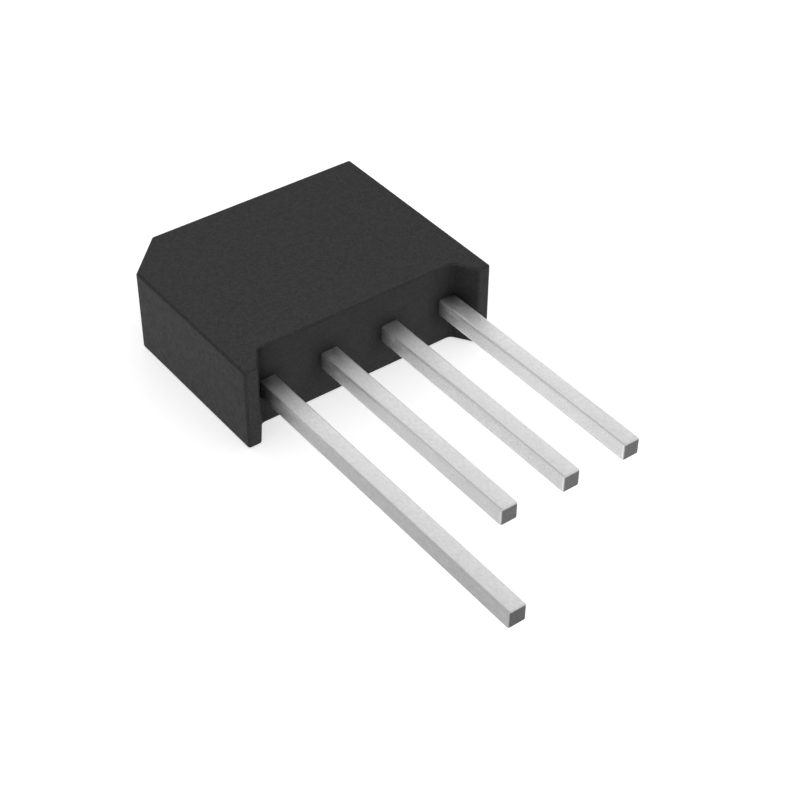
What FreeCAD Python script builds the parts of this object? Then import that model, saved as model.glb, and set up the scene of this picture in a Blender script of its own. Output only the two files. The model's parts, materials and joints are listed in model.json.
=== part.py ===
import FreeCAD
import Part
import Sketcher
import os
import re

# Four-lead in-line bridge rectifier, in millimetres.
# A block of black epoxy is moulded round a copper lead frame. Four square leads leave its front
# edge, the longest one (plus) beside the cut corner. Inside, their coined paddles carry four
# silicon dies, and formed copper clips join each die to the next paddle, which closes the bridge.
# The block lies on its broad face. X runs along the row of leads, the leads point to -Y, and
# the origin is the centre of the lower broad face.

SIZES = {
    # Epoxy body.
    "body_width": 19.0,
    "body_depth": 14.2,
    "body_thickness": 6.06,
    "corner_cut": 2.95,
    "edge_round": 0.2,
    # Standoffs: the two feet at the ends of the front edge.
    "standoff_height": 1.55,
    "standoff_tip_width": 0.93,
    "standoff_slant_run": 1.05,
    "standoff_root_radius": 0.5,
    # Square leads. Their lengths count from the recessed front face.
    "lead_side": 1.27,
    "lead_pitch": 4.72,
    "lead_row_offset": 0.11,
    "lead_level": 2.91,
    "long_lead_length": 24.3,
    "short_lead_length": 17.9,
    "lead_edge_round": 0.15,
    # Paddles: the flat inner ends of the leads, coined thinner from above.
    "paddle_thickness": 0.6,
    "paddle_gap": 0.6,
    "paddle_corner_round": 0.3,
    "sealing_length": 1.4,
    "coin_ramp": 0.8,
    "side_cover": 1.1,
    # Silicon dies and the solder on both of their faces.
    "die_side": 2.1,
    "die_thickness": 0.28,
    "die_bevel_degrees": 30.0,
    "die_margin": 0.35,
    "solder_thickness": 0.08,
    # Clips: strips of copper from the top of a die down to a paddle.
    "clip_width": 1.5,
    "clip_thickness": 0.25,
    "clip_contact": 1.4,
    "clip_foot": 0.9,
    "clip_arch": 0.35,
    "clip_bend_radius": 0.15,
}

# Places along Y in the body, as expressions in the sizes above.
RECESS = "(-body_depth / 2)"
BACK = "(body_depth / 2)"
TIPS = f"({RECESS} - standoff_height)"

# Places along Y that count from the recessed face, where each lead has its own origin.
PADDLE_START = "sealing_length"
FRONT_ROW = f"({PADDLE_START} + coin_ramp + die_margin + die_side / 2)"
REAR_ROW = f"({FRONT_ROW} + die_side + die_margin)"
FOOT_ROW = f"({REAR_ROW} + die_side / 2 + die_margin + clip_foot / 2)"
AC_PADDLE_END = f"({FOOT_ROW} + clip_foot / 2 + die_margin)"
BAR_START = f"({AC_PADDLE_END} + paddle_gap)"
BAR_ROW = f"({BAR_START} + die_margin + die_side / 2)"
BAR_END = f"({BAR_ROW} + die_side / 2 + die_margin)"

# Heights that count from the axis of the leads.
PADDLE_TOP = "(paddle_thickness - lead_side / 2)"
DIE_BASE = f"({PADDLE_TOP} + solder_thickness)"
DIE_TOP = f"({DIE_BASE} + die_thickness)"
CONTACT = f"({DIE_TOP} + solder_thickness)"

HALF_PADDLE = "((lead_pitch - paddle_gap) / 2)"

# Half the turn of a 45 degree corner, which the cut corner and the bends of the clips have.
HALF_TURN = "tan(22.5)"

# How near two places have to be to count as the same, in millimetres.
SAME_PLACE = 1e-4

doc = FreeCAD.newDocument("bridge_rectifier")
sheet = doc.addObject("Spreadsheet::Sheet", "sizes")
for row, (alias, value) in enumerate(SIZES.items(), start=1):
    sheet.set(f"A{row}", alias)
    sheet.set(f"B{row}", str(value))
    sheet.setAlias(f"B{row}", alias)
doc.recompute()


def with_sheet(text):
    """Name the sheet in front of each size in an expression."""
    any_size = r"\b(" + "|".join(SIZES) + r")\b"
    return re.sub(any_size, r"sizes.\1", text)


def bind(item, name, text):
    item.setExpression(name, with_sheet(text))


def number(text):
    """Value of an expression with the sizes now in the sheet."""
    return float(sheet.evalExpression(with_sheet(text)))


def lead_x(place):
    """Distance of a lead from the middle of the body. Places run from 0 (plus) to 3 (minus)."""
    return f"(lead_row_offset + ({place} - 1.5) * lead_pitch)"


def part_body(label, x="0", y="0", z="0"):
    """An empty body whose own origin stands at x, y, z of the rectifier."""
    body = doc.addObject("PartDesign::Body", label)
    body.Label = label
    bind(body, "Placement.Base.x", x)
    bind(body, "Placement.Base.y", y)
    bind(body, "Placement.Base.z", z)
    return body


def outline(body, name, plane, level, points):
    """A closed sketch of straight lines, each corner bound to a pair of expressions."""
    sketch = body.newObject("Sketcher::SketchObject", f"{body.Label}_{name}")
    origin_plane = next(item for item in body.Origin.OriginFeatures if item.Role == plane)
    sketch.AttachmentSupport = [(origin_plane, "")]
    sketch.MapMode = "FlatFace"
    bind(sketch, "AttachmentOffset.Base.z", level)
    corners = [FreeCAD.Vector(number(x), number(y), 0) for x, y in points]
    for index, corner in enumerate(corners):
        sketch.addGeometry(Part.LineSegment(corner, corners[(index + 1) % len(corners)]), False)
    for index, (x, y) in enumerate(points):
        sketch.addConstraint(Sketcher.Constraint("Coincident", index, 2, (index + 1) % len(points), 1))
        for direction, text in (("DistanceX", x), ("DistanceY", y)):
            place = sketch.addConstraint(Sketcher.Constraint(direction, -1, 1, index, 1, number(text)))
            bind(sketch, f"Constraints[{place}]", text)
    return sketch


def rectangle(width, height):
    """Corners of a rectangle about the sketch's origin."""
    left, right = f"-({width}) / 2", f"({width}) / 2"
    low, high = f"-({height}) / 2", f"({height}) / 2"
    return [(left, low), (right, low), (right, high), (left, high)]


def pad(body, sketch, length, both_ways=False):
    feature = body.newObject("PartDesign::Pad", f"{sketch.Label}_pad")
    feature.Profile = sketch
    feature.SideType = "Symmetric" if both_ways else "One side"
    bind(feature, "Length", length)
    doc.recompute()
    return feature


def fillet(body, name, radius, chosen):
    """Round the edges of the body's last feature for which chosen(edge) is true."""
    base = body.Tip
    edges = [f"Edge{place}" for place, edge in enumerate(base.Shape.Edges, start=1) if chosen(edge)]
    feature = body.newObject("PartDesign::Fillet", f"{body.Label}_{name}")
    feature.Base = (base, edges)
    bind(feature, "Radius", radius)
    doc.recompute()
    return feature


def is_upright(edge):
    box = edge.BoundBox
    return box.ZLength > SAME_PLACE > box.XLength + box.YLength


def lies_flat(edge):
    return edge.BoundBox.ZLength < SAME_PLACE


def stands_at(edge, corners):
    """Whether an upright edge stands on one of the corners."""
    middle = edge.BoundBox.Center
    near = (abs(middle.x - number(x)) + abs(middle.y - number(y)) < SAME_PLACE for x, y in corners)
    return is_upright(edge) and any(near)


def solder(label, size, centre, base):
    """A thin layer of solder: size and centre are pairs along X and Y, base is its lower face."""
    block = doc.addObject("Part::Box", label)
    block.Label = label
    for name, text in zip(("Length", "Width", "Height"), (*size, "solder_thickness")):
        bind(block, name, text)
    bind(block, "Placement.Base.x", f"{centre[0]} - ({size[0]}) / 2")
    bind(block, "Placement.Base.y", f"{centre[1]} - ({size[1]}) / 2")
    bind(block, "Placement.Base.z", base)
    return block


def mould_form():
    """Outer form of the epoxy: a block with two slanted standoffs and one cut corner."""
    half = "body_width / 2"
    foot = f"({half} - standoff_tip_width)"
    root = f"({foot} - standoff_slant_run)"
    roots = [(f"-{root}", RECESS), (root, RECESS)]
    corners = [
        (f"-{half}", TIPS),
        (f"-{foot}", TIPS),
        *roots,
        (foot, TIPS),
        (half, TIPS),
        (half, BACK),
        (f"-{half} + corner_cut", BACK),
        (f"-{half}", f"{BACK} - corner_cut"),
    ]
    body = part_body("mould_form")
    pad(body, outline(body, "plan", "XY_Plane", "0", corners), "body_thickness")
    fillet(body, "roots", "standoff_root_radius", lambda edge: stands_at(edge, roots))
    sharp = [corner for corner in corners if corner not in roots]
    fillet(body, "edges", "edge_round", lambda edge: stands_at(edge, sharp) or lies_flat(edge))
    return body


def lead(label, place, length, paddle):
    """A square lead, rounded along its edges, that is coined into a flat paddle inside the body."""
    body = part_body(label, lead_x(place), RECESS, "lead_level")
    ramp_end = f"({PADDLE_START} + coin_ramp)"
    # This plane faces -Y, so the lead grows from its buried end towards its tip.
    section = outline(body, "section", "XZ_Plane", f"-{ramp_end}", rectangle("lead_side", "lead_side"))
    pad(body, section, f"{ramp_end} + {length}")
    fillet(body, "rounds", "lead_edge_round", lambda edge: edge.BoundBox.YMin < 0)
    pad(body, outline(body, "paddle", "XY_Plane", "-lead_side / 2", paddle), "paddle_thickness")
    fillet(body, "corners", "paddle_corner_round", lambda edge: stands_at(edge, paddle))
    ramp = [(PADDLE_START, "lead_side / 2"), (ramp_end, PADDLE_TOP), (ramp_end, "lead_side / 2")]
    coining = body.newObject("PartDesign::Pocket", f"{label}_coining")
    coining.Profile = outline(body, "ramp", "YZ_Plane", "0", ramp)
    coining.SideType = "Symmetric"
    bind(coining, "Length", "2 * lead_side")
    return body


def paddle_block(left, right, end):
    """Corners of a plain paddle behind its lead."""
    return [(left, PADDLE_START), (right, PADDLE_START), (right, end), (left, end)]


def plus_paddle():
    """Corners of the plus paddle: a leg beside the AC paddles and a bar behind them.

    It is cut where the body's corner is cut, so that the epoxy covers it there as on its side.
    """
    left = f"(side_cover - body_width / 2 - {lead_x(0)})"
    bar_tip = f"(2 * lead_pitch + {HALF_PADDLE})"
    back_cover = f"(body_depth - {BAR_END})"
    cut = f"max(corner_cut - {back_cover} + {HALF_TURN} * side_cover; 2 * paddle_corner_round)"
    return [
        (left, PADDLE_START),
        (HALF_PADDLE, PADDLE_START),
        (HALF_PADDLE, BAR_START),
        (bar_tip, BAR_START),
        (bar_tip, BAR_END),
        (f"{left} + {cut}", BAR_END),
        (left, f"{BAR_END} - {cut}"),
    ]


def die(label, x, y):
    """A silicon chip whose bevelled rim keeps its anode, on top, clear of its cathode."""
    body = part_body(label, x, y, f"lead_level + {DIE_BASE}")
    base = outline(body, "base", "XY_Plane", "0", rectangle("die_side", "die_side"))
    feature = pad(body, base, "die_thickness")
    bind(feature, "TaperAngle", "-die_bevel_degrees")
    return body


def clip(label, plane, centre, level, foot_centre):
    """A formed strip: contact on the die, arch over its rim, and foot on the next paddle.

    The sketch shows the strip from its side, along the way that it runs, and starts at the die.
    centre and foot_centre are places along that way, and level is the plane of the sketch.
    """
    way = "-1" if number(foot_centre) < number(centre) else "1"
    mitre = f"(clip_thickness * {HALF_TURN})"
    span = f"({way} * ({foot_centre} - {centre}))"
    arch = f"({CONTACT} + clip_arch)"
    foot = f"({PADDLE_TOP} + solder_thickness)"
    contact_end = "(clip_contact / 2)"
    foot_start = f"({span} - clip_foot / 2)"
    # The ramps stand at 45 degrees, so each runs as far as it rises or drops.
    drop_start = f"({foot_start} - ({arch} - {foot}))"
    under = [
        ("-clip_contact / 2", CONTACT),
        (contact_end, CONTACT),
        (f"({contact_end} + clip_arch)", arch),
        (drop_start, arch),
        (foot_start, foot),
        (f"({span} + clip_foot / 2)", foot),
    ]
    # The upper side is moved sideways at each bend, so that the strip keeps its thickness.
    shifts = ["0", f"-{mitre}", f"-{mitre}", mitre, mitre, "0"]
    over = [(f"({u} + {shift})", f"({w} + clip_thickness)") for (u, w), shift in zip(under, shifts)]
    profile = [(f"{centre} + {way} * {u}", f"lead_level + {w}") for u, w in under + over[::-1]]
    body = part_body(label)
    pad(body, outline(body, "profile", plane, level, profile), "clip_width", both_ways=True)
    # The inner side of each bend gets the bend radius, and the outer side adds the strip's thickness.
    inner = [over[1], under[2], under[3], over[4]]
    outer = [under[1], over[2], over[3], under[4]]
    along_y = plane == "YZ_Plane"

    def crosses(edge, bends):
        middle = edge.BoundBox.Center
        run = middle.y if along_y else middle.x
        width = edge.BoundBox.XLength if along_y else edge.BoundBox.YLength
        places = ((number(f"{centre} + {way} * {u}"), number(f"lead_level + {w}")) for u, w in bends)
        near = (abs(run - u) + abs(middle.z - w) < SAME_PLACE for u, w in places)
        return abs(width - number("clip_width")) < SAME_PLACE and any(near)

    fillet(body, "inner_bends", "clip_bend_radius", lambda edge: crosses(edge, inner))
    fillet(body, "outer_bends", "clip_bend_radius + clip_thickness", lambda edge: crosses(edge, outer))
    return body


def from_recess(place):
    return f"({RECESS} + {place})"


def bridge_arm(arm, place, row, foot):
    """One quarter of the bridge: solder, die, solder, clip and solder, on the paddle at a lead's place.

    row is the die's place along Y. foot is where the clip lands: along Y where the die sits on the
    plus bar, and along X where it sits on an AC paddle.
    """
    x, y = lead_x(place), from_recess(row)
    on_bar = row == BAR_ROW
    contact, landing = ("clip_width", "clip_contact"), ("clip_width", "clip_foot")
    if on_bar:
        landed = (x, foot)
        strip = clip(f"clip_{arm}", "YZ_Plane", y, x, foot)
    else:
        contact, landing = contact[::-1], landing[::-1]
        landed = (foot, y)
        # This plane faces -Y, so its level counts backwards.
        strip = clip(f"clip_{arm}", "XZ_Plane", x, f"-{y}", foot)
    return [
        solder(f"solder_base_{arm}", ("die_side", "die_side"), (x, y), f"lead_level + {PADDLE_TOP}"),
        die(f"die_{arm}", x, y),
        solder(f"solder_top_{arm}", contact, (x, y), f"lead_level + {DIE_TOP}"),
        strip,
        solder(f"solder_foot_{arm}", landing, landed, f"lead_level + {PADDLE_TOP}"),
    ]


ac_paddle = paddle_block(f"-{HALF_PADDLE}", HALF_PADDLE, AC_PADDLE_END)
minus_edge = f"(body_width / 2 - side_cover - {lead_x(3)})"
minus_paddle = paddle_block(f"-{HALF_PADDLE}", minus_edge, BAR_END)
minus_foot = f"({lead_x(3)} - {HALF_PADDLE} + die_margin + clip_foot / 2)"

embedded = [
    lead("lead_plus", 0, "long_lead_length", plus_paddle()),
    lead("lead_ac_1", 1, "short_lead_length", ac_paddle),
    lead("lead_ac_2", 2, "short_lead_length", ac_paddle),
    lead("lead_minus", 3, "short_lead_length", minus_paddle),
    *bridge_arm("plus_1", 1, BAR_ROW, from_recess(FOOT_ROW)),
    *bridge_arm("plus_2", 2, BAR_ROW, from_recess(FOOT_ROW)),
    *bridge_arm("minus_1", 1, FRONT_ROW, minus_foot),
    *bridge_arm("minus_2", 2, REAR_ROW, minus_foot),
]

# The epoxy fills all the room between its outer form and the pieces that it was moulded round.
core = doc.addObject("Part::MultiFuse", "core")
core.Shapes = embedded
epoxy = doc.addObject("Part::Cut", "epoxy_body")
epoxy.Label = "epoxy_body"
epoxy.Base = mould_form()
epoxy.Tool = core
doc.recompute()

for item in doc.Objects:
    if "Invalid" in item.State or "Error" in item.State:
        raise RuntimeError(f"{item.Label} could not be built: {item.State}")

os.makedirs("parts", exist_ok=True)
for item in [epoxy, *embedded]:
    shape = item.Shape
    if shape.isNull() or not shape.isValid() or len(shape.Solids) != 1:
        raise RuntimeError(f"{item.Label} is not one valid solid")
    shape.exportStep(f"parts/{item.Label}.step")
    print(f"{item.Label}: {shape.Volume:.3f} cubic mm")
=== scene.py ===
import json
import math

import bpy
from mathutils import Matrix, Vector


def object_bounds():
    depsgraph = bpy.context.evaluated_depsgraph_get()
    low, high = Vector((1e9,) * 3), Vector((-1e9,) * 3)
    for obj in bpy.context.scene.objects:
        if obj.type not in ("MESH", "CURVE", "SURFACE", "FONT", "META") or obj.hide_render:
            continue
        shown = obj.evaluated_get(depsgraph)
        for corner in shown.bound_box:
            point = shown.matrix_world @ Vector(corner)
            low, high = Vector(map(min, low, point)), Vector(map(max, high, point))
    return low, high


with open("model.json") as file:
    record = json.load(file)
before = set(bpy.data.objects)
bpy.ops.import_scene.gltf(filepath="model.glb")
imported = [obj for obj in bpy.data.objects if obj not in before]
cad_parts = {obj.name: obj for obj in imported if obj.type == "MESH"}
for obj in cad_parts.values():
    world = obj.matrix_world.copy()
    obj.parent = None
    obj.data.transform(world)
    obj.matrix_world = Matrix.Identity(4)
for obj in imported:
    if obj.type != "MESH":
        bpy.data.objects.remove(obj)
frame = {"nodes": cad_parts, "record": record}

# Bridge rectifier on a pale floor, seen from its front left corner. Lengths are in metres.
MM = 0.001

# Camera, solved from the photograph: it circles a target point at a distance, with a small roll.
AZIMUTH = math.radians(-37.2025)
ELEVATION = math.radians(39.946)
ROLL = math.radians(0.5457)
TARGET = Vector((-1.247, -13.2563, 3.0)) * MM
DISTANCE = 108.434 * MM
FOCAL_PIXELS = 1761.61
IMAGE_PIXELS = 800
SENSOR_MM = 36.0
# The photograph's centre lies half a pixel beyond the image's centre each way.
CENTRE_SHIFT = 0.5 / IMAGE_PIXELS
NEAREST_SEEN = 0.005
FURTHEST_SEEN = 10.0

# Floor, and a ring wall far round it.
BACKDROP_RADIUS = 1.5
BACKDROP_HEIGHT = 0.4
BACKDROP_SIDES = 96
FLOOR_WIDTH = 2.2 * BACKDROP_RADIUS
FLOOR_GREY = 0.78
# Light that the floor gives off to the camera and in reflections, which brings it up to white.
FLOOR_GLOW = 0.57

SKY_STRENGTH = 0.71
LAMP_DISTANCE = 0.5
# Each lamp's direction from the part, its width, and its power in watts.
LAMPS = {
    "left_lamp": ((-1, 0.35, 0.1), 0.3, 0.07),
    "front_lamp": ((0.6, -1, 0.3), 0.3, 0.42),
    "back_lamp": ((0.46, 0.61, 0.64), 0.5, 0.17),
}

# The row of leads, from its mount in the record, and the recessed face that the leads leave.
row = next(mount for mount in frame["record"]["mounts"] if mount["name"] == "lead_row")
LEAD_PITCH = row["dims"]["spacing_x_mm"] * MM
FIRST_LEAD = row["pos_m"][0] - (row["dims"]["count"] - 1) / 2 * LEAD_PITCH
LEAD_LEVEL = row["pos_m"][2]
HALF_LEAD = 0.635 * MM
RECESS = -7.1 * MM

# Two upright lines in a standoff's slanted wall, at its root and near its tip: distances from the
# part's middle and from the recessed face.
STANDOFF_ROOT = (7.52 * MM, 0.0)
STANDOFF_WALL = (8.2 * MM, 1.0 * MM)
# Distances from the recessed face between which the flat tips of the standoffs begin.
STANDOFF_TIP = (1.48 * MM, 1.54 * MM)

# Stretches that a painted shade or painted light changes over: along the body, and along the row from
# one lead to another.
BODY_WIDTH = (-9 * MM, 9 * MM)
BODY_DEPTH = (-8 * MM, 7 * MM)
BODY_HEIGHT = (1 * MM, 5 * MM)
FIRST_TO_SECOND = (-7 * MM, -3 * MM)
FIRST_TO_LAST = (-7 * MM, 7 * MM)
SECOND_TO_LAST = (-3 * MM, 7 * MM)
THIRD_TO_LAST = (3 * MM, 7 * MM)

# Stretches of a rounded edge, by how much of its normal has turned towards an axis.
MOST_OF_ROUND = (0.5, 0.96)
ROUND_START = (0.1, 0.6)
ROUND_END = (0.6, 0.95)
# How well a normal agrees with that of the nearest flat face, on a round and on the flat face.
ROUND_TO_FLAT = (0.95, 0.999)

# Colours at the dark and pale ends of each grain, and levels of grey for the tin.
EPOXY_COLOURS = ((0.0255, 0.0255, 0.0265), (0.0425, 0.0425, 0.0435))
ROLLED_TIN_GREYS = (0.765, 0.845)
SHEARED_TIN_GREYS = (0.68, 0.83)
CUT_END_GREYS = (0.125, 0.15)
SOLDER_COLOURS = ((0.5, 0.51, 0.53), (0.6, 0.61, 0.63))
SILICON_COLOURS = ((0.13, 0.14, 0.17), (0.18, 0.19, 0.22))
COPPER_COLOURS = ((0.68, 0.38, 0.26), (0.78, 0.47, 0.34))
# Roughness at the two ends of each grain.
EPOXY_ROUGHNESS = (0.56, 0.66)
TIN_ROUGHNESS = (0.46, 0.54)
SILICON_ROUGHNESS = (0.18, 0.28)
WALL_ROUGHNESS = 0.95

# Sizes of grain, in cells to the metre, and how high the grain stands.
SPECKLE = 9000
MOTTLE = 6500
ROLLED = 5000
SILICON_MOTTLE = 4000
SMEAR = 3000
BLOTCH = 2500
RELIEF = 0.01 * MM

# How far from a lead or a standoff's root the painted shade reaches, and its thin darker painted line
# close by.
EXIT_REACH = (0.0, 1.1 * MM)
EXIT_LINE = (0.0, 0.35 * MM)
ROOT_REACH = (0.0, 1.9 * MM)
ROOT_LINE = (0.1 * MM, 0.42 * MM)
# The painted shade of the left standoff's slanted wall, and the distances from its line that it fades
# over.
WALL_SHADE = 0.62
WALL_REACH = (0.3 * MM, 1.2 * MM)

cad_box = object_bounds()


def new_material(name):
    """A node material with its Principled shader, and functions that add nodes and join them to it."""
    material = bpy.data.materials.new(name)
    material.use_nodes = True
    tree = material.node_tree
    shader = tree.nodes["Principled BSDF"]

    def add(kind, links=None, **values):
        node = tree.nodes.new(kind)
        for key, value in values.items():
            setattr(node, key, value)
        for socket, source in (links or {}).items():
            if isinstance(source, bpy.types.NodeSocket):
                tree.links.new(source, node.inputs[socket])
            else:
                node.inputs[socket].default_value = source
        return node

    def join(source, socket):
        tree.links.new(source, shader.inputs[socket])

    return material, shader, add, join


def set_inputs(shader, values):
    for socket, value in values.items():
        shader.inputs[socket].default_value = value


def calculate(add, operation, *values):
    return add("ShaderNodeMath", dict(enumerate(values)), operation=operation).outputs[0]


def between(add, source, span, values=(0.0, 1.0)):
    """A value that goes from the first of values to the second as source goes through the span."""
    start, end = span
    low, high = values
    ends = {"Value": source, "From Min": start, "From Max": end, "To Min": low, "To Max": high}
    return add("ShaderNodeMapRange", ends).outputs["Result"]


def ramp(add, source, colours, span=(0.35, 0.65)):
    """A blend from the first colour to the second as source goes through the span."""
    node = add("ShaderNodeValToRGB", {"Fac": source})
    for element, position, colour in zip(node.color_ramp.elements, span, colours):
        element.position = position
        element.color = (*colour, 1)
    return node.outputs["Color"]


def greys(levels):
    """The grey colour of each level."""
    return [(level,) * 3 for level in levels]


def blend(add, mask, first, second):
    """The first colour where the mask is 0 and the second where it is 1."""
    # The two colours of a Mix node stand at places 6 and 7, after its numbers and vectors.
    return add("ShaderNodeMix", {"Factor": mask, 6: first, 7: second}, data_type="RGBA").outputs[2]


def scaled(add, colour, *factors):
    """The colour times each factor."""
    for factor in factors:
        node = add("ShaderNodeVectorMath", {"Vector": colour, "Scale": factor}, operation="SCALE")
        colour = node.outputs["Vector"]
    return colour


def grain(add, cells, detail=2.0, stretch=(1, 1, 1)):
    """Noise fixed to the object, with about so many cells in a metre."""
    point = add("ShaderNodeTexCoord").outputs["Object"]
    mapping = add("ShaderNodeMapping", {"Vector": point, "Scale": stretch})
    settings = {"Vector": mapping.outputs["Vector"], "Scale": cells, "Detail": detail}
    return add("ShaderNodeTexNoise", settings).outputs["Fac"]


def bump(add, height, strength):
    node = add("ShaderNodeBump", {"Height": height, "Strength": strength, "Distance": RELIEF})
    return node.outputs["Normal"]


def coordinate(add, kind, axis):
    point = add("ShaderNodeTexCoord").outputs[kind]
    return add("ShaderNodeSeparateXYZ", {"Vector": point}).outputs[axis]


def place(add, axis):
    """Where a point lies along an axis of the object."""
    return coordinate(add, "Object", axis)


def direction(add, axis):
    """The part of the surface's direction that runs along an axis of the object."""
    return coordinate(add, "Normal", axis)


def facing(add, axis, stretch=MOST_OF_ROUND):
    """1 on faces across an axis of the object, 0 on faces along it, and a blend on a round's stretch."""
    return between(add, calculate(add, "ABSOLUTE", direction(add, axis)), stretch)


def upright_only(add, factor, stretch):
    """A factor that can darken upright faces but not level ones."""
    return calculate(add, "MAXIMUM", factor, facing(add, "Z", stretch))


def flat_normals(node, least_share=0.004):
    """The directions that the flat faces of a node look in, each a good share of its surface."""
    areas = {}
    for face in node.data.polygons:
        heading = tuple(round(part, 2) for part in face.normal)
        areas[heading] = areas.get(heading, 0) + face.area
    least = least_share * sum(areas.values())
    return [Vector(heading).normalized() for heading, area in areas.items() if area > least]


def rounds(add, normals, shade):
    """A factor that is 1 on flat faces and falls to shade where an edge is rounded."""
    surface = add("ShaderNodeTexCoord").outputs["Normal"]
    flatness = 0.0
    for normal in normals:
        towards = add("ShaderNodeVectorMath", {0: surface, 1: normal}, operation="DOT_PRODUCT")
        flatness = calculate(add, "MAXIMUM", towards.outputs["Value"], flatness)
    return between(add, flatness, ROUND_TO_FLAT, (shade, 1.0))


def length(add, *parts):
    """Length of the vector with these parts, two or three of them."""
    vector = add("ShaderNodeCombineXYZ", dict(enumerate(parts))).outputs["Vector"]
    return add("ShaderNodeVectorMath", {0: vector}, operation="LENGTH").outputs["Value"]


def beyond_recess(add):
    """How far a place lies in front of the recessed face."""
    return calculate(add, "SUBTRACT", RECESS, place(add, "Y"))


def across_lead(add):
    """How far a place lies to the right of the middle of the nearest lead."""
    along_row = calculate(add, "SUBTRACT", place(add, "X"), FIRST_LEAD)
    return calculate(add, "WRAP", along_row, LEAD_PITCH / 2, -LEAD_PITCH / 2)


def from_leads(add):
    """Distance to the nearest lead, which counts only outside the recessed face."""
    sideways = calculate(add, "ABSOLUTE", across_lead(add))
    upward = calculate(add, "ABSOLUTE", calculate(add, "SUBTRACT", place(add, "Z"), LEAD_LEVEL))
    beside = calculate(add, "SUBTRACT", sideways, HALF_LEAD)
    above = calculate(add, "SUBTRACT", upward, HALF_LEAD)
    behind = calculate(add, "SUBTRACT", place(add, "Y"), RECESS)
    return length(add, *(calculate(add, "MAXIMUM", part, 0.0) for part in (beside, above, behind)))


def from_standoff(add, line, left_only=False):
    """Distance to an upright line of the nearer standoff, or of the left one only."""
    x = place(add, "X")
    sideways = calculate(add, "MULTIPLY", x, -1.0) if left_only else calculate(add, "ABSOLUTE", x)
    from_middle, from_recess = line
    return length(add, calculate(add, "SUBTRACT", sideways, from_middle),
                  calculate(add, "SUBTRACT", beyond_recess(add), from_recess))


def painted_edge_shade(add):
    """Painted shade on rounded edges, except those of the right standoff's slanted wall, which get a
    painted highlight.
    """
    on_right = calculate(add, "GREATER_THAN", place(add, "X"), 0.0)
    inward = calculate(add, "MULTIPLY", direction(add, "X"), on_right)
    # Painted highlight on the rounded edges of the right standoff's slanted wall, painted shade on all
    # other rounded edges.
    shade = between(add, inward, (-0.4, -0.1), (1.15, 0.82))
    return rounds(add, flat_normals(frame["nodes"]["epoxy_body"]), shade)


def painted_face_light(add):
    """Painted light: level faces are paler at the front left, upright ones near the floor, and the left
    tip is palest.
    """
    x = place(add, "X")
    # Painted light on level faces, paler towards the front left.
    painted_light_slope = calculate(add, "MULTIPLY", between(add, x, BODY_WIDTH, (1.08, 0.95)),
                      between(add, place(add, "Y"), BODY_DEPTH, (1.05, 0.96)))
    level = between(add, facing(add, "Z"), (0.0, 1.0), (1.0, painted_light_slope))
    # Painted light on upright faces, paler near the floor.
    height = between(add, place(add, "Z"), BODY_HEIGHT, (1.05, 0.97))
    upright = upright_only(add, height, ROUND_START)
    # Painted light on the left standoff's tip, fading to painted shade on the right one's.
    painted_tip_shading = between(add, x, BODY_WIDTH, (1.24, 0.9))
    tips = between(add, beyond_recess(add), STANDOFF_TIP, (1.0, painted_tip_shading))
    return level, upright, tips


def painted_corner_shade(add):
    """Painted shade round the leads and the standoffs' roots, with a thin darker painted line down each
    root.
    """
    gap = from_leads(add)
    # The painted shade is darkest beside a lead on faces that look to the left.
    beside = between(add, direction(add, "X"), (-0.6, -0.2), (0.4, 0.58))
    painted_exit_shade = calculate(add, "MULTIPLY", between(add, gap, EXIT_REACH, (beside, 1.0)),
                      between(add, gap, EXIT_LINE, (0.72, 1.0)))
    # Painted shade round the standoffs' roots, and a thin darker painted line down each root.
    root = from_standoff(add, STANDOFF_ROOT)
    roots = upright_only(add, between(add, root, ROOT_REACH, (0.58, 1.0)), ROUND_START)
    line_shade = between(add, place(add, "X"), FIRST_TO_LAST, (0.3, 0.85))
    line = between(add, root, ROOT_LINE, (line_shade, 1.0))
    return painted_exit_shade, roots, upright_only(add, line, ROUND_END)


def painted_wall_shade(add):
    """A factor that falls to a painted shade on the left standoff's slanted wall, and is 1 elsewhere."""
    distance = from_standoff(add, STANDOFF_WALL, left_only=True)
    near = between(add, distance, WALL_REACH, (WALL_SHADE, 1.0))
    other_faces = between(add, direction(add, "X"), (0.5, 0.8), (1.0, 0.0))
    return calculate(add, "MAXIMUM", near, other_faces)


def epoxy_material():
    """Black moulding compound with a fine matt grain, with painted shade along its edges and in its
    corners, and painted light on some faces.
    """
    material, shader, add, join = new_material("epoxy")
    speckle = grain(add, SPECKLE, detail=4.0)
    colour = ramp(add, speckle, EPOXY_COLOURS)
    # A painted shade on the left standoff's slanted wall.
    wall = painted_wall_shade(add)
    factors = (painted_edge_shade(add), *painted_face_light(add), *painted_corner_shade(add), wall)
    join(scaled(add, colour, *factors), "Base Color")
    rough = ramp(add, grain(add, BLOTCH), greys(EPOXY_ROUGHNESS))
    # The slanted wall is rougher too, so that it doesn't shine where it is seen at a low angle.
    # Elsewhere the value falls below the epoxy's own roughness, and the larger of the two counts.
    rough_wall = between(add, wall, (WALL_SHADE, 1.0), (WALL_ROUGHNESS, 0.3))
    join(calculate(add, "MAXIMUM", rough, rough_wall), "Roughness")
    join(bump(add, speckle, strength=0.25), "Normal")
    set_inputs(shader, {"Specular IOR Level": 0.16})
    return material


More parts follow.
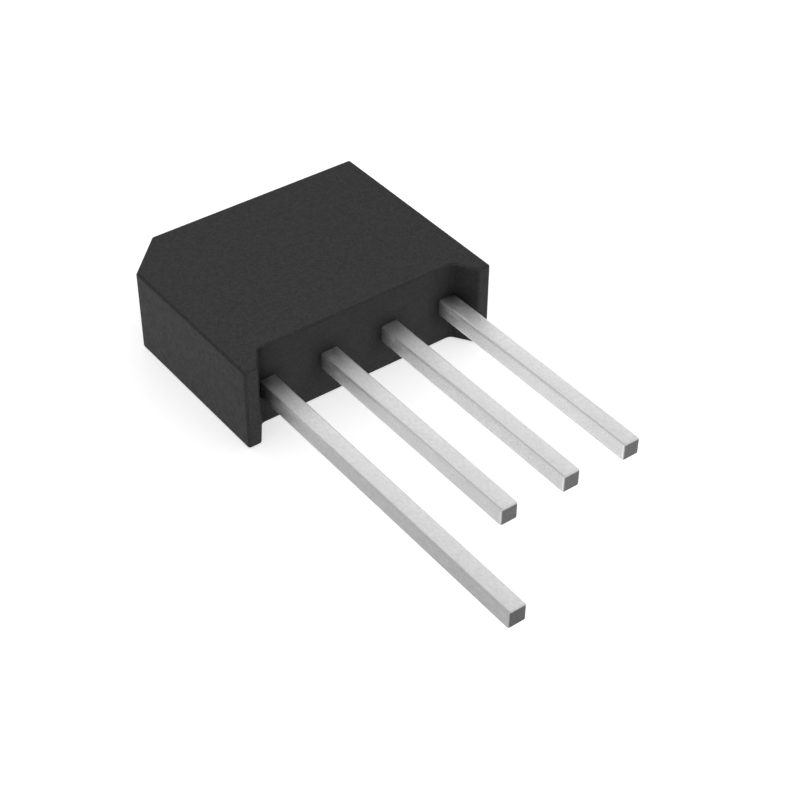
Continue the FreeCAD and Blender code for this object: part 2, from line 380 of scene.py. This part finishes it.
def rolled_tin(add, mottle):
    """Colour of a lead's upper and lower faces, with painted shade beside the epoxy and near the
    standoffs, and a painted sheen along and across the lead.
    """
    beyond = beyond_recess(add)
    # Painted shade beside the epoxy, shorter at the last lead, near the left standoff and round the
    # standoffs' roots.
    reach = between(add, place(add, "X"), THIRD_TO_LAST, (5.6 * MM, 1.5 * MM))
    exit_shade = between(add, beyond, (0.0, reach), (0.64, 1.0))
    left_corner = from_standoff(add, STANDOFF_ROOT, left_only=True)
    corner_shade = between(add, left_corner, (0.3 * MM, 4.8 * MM), (0.66, 1.0))
    root_shade = between(add, from_standoff(add, STANDOFF_ROOT), (0.2 * MM, 1.0 * MM), (0.55, 1.0))
    # A painted sheen that fades further out along the lead and grows towards the lead's right edge.
    along = between(add, beyond, (6 * MM, 24 * MM), (1.06, 0.97))
    across = between(add, across_lead(add), (-HALF_LEAD, HALF_LEAD), (0.97, 1.05))
    colour = ramp(add, mottle, greys(ROLLED_TIN_GREYS))
    return scaled(add, colour, exit_shade, corner_shade, root_shade, along, across)


def sheared_tin(add, painted_first_lead_shade):
    """Colour of a lead's sides, with painted shade and light. The left side is dark at the epoxy, then
    bright, then even.
    """
    beyond = beyond_recess(add)
    # Painted shade at the epoxy on the left side, then painted light further out.
    painted_left_side = calculate(add, "MULTIPLY", between(add, beyond, EXIT_REACH, (0.65, 1.34)),
                          between(add, beyond, (1.8 * MM, 3.4 * MM), (1.0, 0.78)))
    side = between(add, direction(add, "X"), (-0.5, 0.5), (painted_left_side, 0.85))
    # Painted shade that is darker on the first leads and further out along each lead.
    along_row = between(add, place(add, "X"), SECOND_TO_LAST, (0.83, 0.98))
    along = between(add, beyond, (7 * MM, 20 * MM), (1.0, 0.86))
    colour = ramp(add, grain(add, SPECKLE, detail=4.0), greys(SHEARED_TIN_GREYS))
    return scaled(add, colour, painted_first_lead_shade, along_row, side, along)


def painted_lead_edges(add):
    """Painted light and shade on a lead's left edges: a paler lower half and a darker upper half, darker
    further out.
    """
    lower = between(add, place(add, "X"), FIRST_TO_SECOND, (0.93, 1.2))
    upper = between(add, beyond_recess(add), (4 * MM, 8 * MM), (0.95, 0.76))
    shade = between(add, direction(add, "Z"), (0.62, 0.88), (lower, upper))
    edges = rounds(add, flat_normals(frame["nodes"]["lead_ac_1"]), shade)
    other_edges = between(add, direction(add, "X"), (-0.4, 0.0))
    return calculate(add, "MAXIMUM", edges, other_edges)


def tin_material():
    """Satin tin plating with painted shade along its edges and beside the epoxy, and dark on the cut
    ends.
    """
    material, shader, add, join = new_material("tinned_copper")
    mottle = grain(add, MOTTLE, detail=4.0, stretch=(1, 0.5, 1))
    # Painted shade: the first lead's sides and end are darker than the others'.
    painted_first_lead_shade = between(add, place(add, "X"), FIRST_TO_SECOND, (0.73, 1.0))
    sides = blend(add, facing(add, "X"), rolled_tin(add, mottle), sheared_tin(add, painted_first_lead_shade))
    ends = scaled(add, ramp(add, mottle, greys(CUT_END_GREYS)), painted_first_lead_shade)
    colour = blend(add, facing(add, "Y"), sides, ends)
    join(scaled(add, colour, painted_lead_edges(add)), "Base Color")
    smear = grain(add, SMEAR, stretch=(1, 0.3, 1))
    join(ramp(add, smear, greys(TIN_ROUGHNESS)), "Roughness")
    join(bump(add, mottle, strength=0.15), "Normal")
    set_inputs(shader, {"Metallic": 1.0})
    return material


def solder_material():
    """Dull grey solder with the fine crystals that it sets with."""
    material, shader, add, join = new_material("solder")
    point = add("ShaderNodeTexCoord").outputs["Object"]
    crystals = add("ShaderNodeTexVoronoi", {"Vector": point, "Scale": SPECKLE}).outputs["Distance"]
    join(ramp(add, crystals, SOLDER_COLOURS, (0.1, 0.8)), "Base Color")
    join(bump(add, crystals, strength=0.3), "Normal")
    set_inputs(shader, {"Metallic": 1.0, "Roughness": 0.5})
    return material


def silicon_material():
    """Dark polished silicon with a faint mottle."""
    material, shader, add, join = new_material("silicon")
    join(ramp(add, grain(add, SILICON_MOTTLE), SILICON_COLOURS), "Base Color")
    join(ramp(add, grain(add, SPECKLE), greys(SILICON_ROUGHNESS)), "Roughness")
    set_inputs(shader, {"Metallic": 0.6})
    return material


def copper_material():
    """Bare copper, streaked along the row by its rolling."""
    material, shader, add, join = new_material("copper")
    streaks = grain(add, ROLLED, detail=3.0, stretch=(0.1, 1, 1))
    join(ramp(add, streaks, COPPER_COLOURS), "Base Color")
    join(bump(add, streaks, strength=0.15), "Normal")
    set_inputs(shader, {"Metallic": 1.0, "Roughness": 0.35})
    return material


def dress(node, material):
    mesh = node.data
    mesh.materials.clear()
    mesh.materials.append(material)


def dress_nodes():
    """Each node gets the material of its slot in the record."""
    makers = {
        "epoxy": epoxy_material,
        "tinned_copper": tin_material,
        "solder": solder_material,
        "silicon": silicon_material,
        "copper": copper_material,
    }
    materials = {slot: make() for slot, make in makers.items()}
    for subpart in frame["record"]["subparts"]:
        dress(frame["nodes"][subpart["node"]], materials[subpart["material_slot"]])


def floor_material():
    """Pale and matt, and white to the camera and in reflections. It keeps the part's shadow."""
    material, shader, add, _ = new_material("floor")
    grey = (FLOOR_GREY, FLOOR_GREY, FLOOR_GREY, 1)
    set_inputs(shader, {"Base Color": grey, "Roughness": 0.9, "Specular IOR Level": 0.1})
    ray = add("ShaderNodeLightPath").outputs
    seen = calculate(add, "MAXIMUM", ray["Is Camera Ray"], ray["Is Glossy Ray"])
    seen = calculate(add, "MAXIMUM", seen, ray["Is Transmission Ray"])
    plain = shader.outputs["BSDF"]
    glow = add("ShaderNodeEmission", {"Strength": FLOOR_GLOW}).outputs["Emission"]
    # Shaders that are added or mixed go in by place, because their sockets share one name.
    lit = add("ShaderNodeAddShader", {0: plain, 1: glow}).outputs["Shader"]
    surface = add("ShaderNodeMixShader", {0: seen, 1: plain, 2: lit}).outputs["Shader"]
    tree = material.node_tree
    tree.links.new(surface, tree.nodes["Material Output"].inputs["Surface"])
    return material


def make_floor():
    """A pale floor with a wall far round it, so that low views have no grey horizon."""
    level = cad_box[0].z
    bpy.ops.mesh.primitive_plane_add(size=FLOOR_WIDTH, location=(0, 0, level))
    floor = bpy.context.object
    floor.name = "floor"
    middle = (0, 0, level + BACKDROP_HEIGHT / 2)
    bpy.ops.mesh.primitive_cylinder_add(vertices=BACKDROP_SIDES, radius=BACKDROP_RADIUS,
                                        depth=BACKDROP_HEIGHT, end_fill_type="NOTHING", location=middle)
    backdrop = bpy.context.object
    backdrop.name = "backdrop"
    material = floor_material()
    for piece in (floor, backdrop):
        dress(piece, material)


def add_lamp(name, towards, width, power):
    """A square soft light that shines at the part."""
    light = bpy.data.lights.new(name, "AREA")
    light.size = width
    light.energy = power
    lamp = bpy.data.objects.new(name, light)
    away = Vector(towards).normalized()
    lamp.location = away * LAMP_DISTANCE
    lamp.rotation_euler = away.to_track_quat("Z", "Y").to_euler()
    bpy.context.scene.collection.objects.link(lamp)


def light_scene():
    """An even white sky and three large soft lamps."""
    world = bpy.data.worlds.new("sky")
    world.use_nodes = True
    set_inputs(world.node_tree.nodes["Background"], {"Color": (1, 1, 1, 1), "Strength": SKY_STRENGTH})
    bpy.context.scene.world = world
    for name, settings in LAMPS.items():
        add_lamp(name, *settings)


def make_camera():
    """The camera looks against its own Z axis, and its X and Y axes carry the roll."""
    data = bpy.data.cameras.new("camera")
    data.sensor_width = SENSOR_MM
    data.lens = FOCAL_PIXELS / IMAGE_PIXELS * SENSOR_MM
    data.shift_x = -CENTRE_SHIFT
    data.shift_y = CENTRE_SHIFT
    data.clip_start = NEAREST_SEEN
    data.clip_end = FURTHEST_SEEN
    camera = bpy.data.objects.new("camera", data)
    flat = math.cos(ELEVATION)
    back = Vector((math.sin(AZIMUTH) * flat, -math.cos(AZIMUTH) * flat, math.sin(ELEVATION)))
    right = Vector((0, 0, 1)).cross(back).normalized()
    up = back.cross(right)
    turned_right = right * math.cos(ROLL) + up * math.sin(ROLL)
    turned_up = up * math.cos(ROLL) - right * math.sin(ROLL)
    turn = Matrix((turned_right, turned_up, back)).transposed()
    camera.matrix_world = Matrix.Translation(TARGET + back * DISTANCE) @ turn.to_4x4()
    bpy.context.scene.collection.objects.link(camera)
    bpy.context.scene.camera = camera


bpy.context.scene.view_settings.view_transform = "Standard"
dress_nodes()
make_floor()
light_scene()
make_camera()
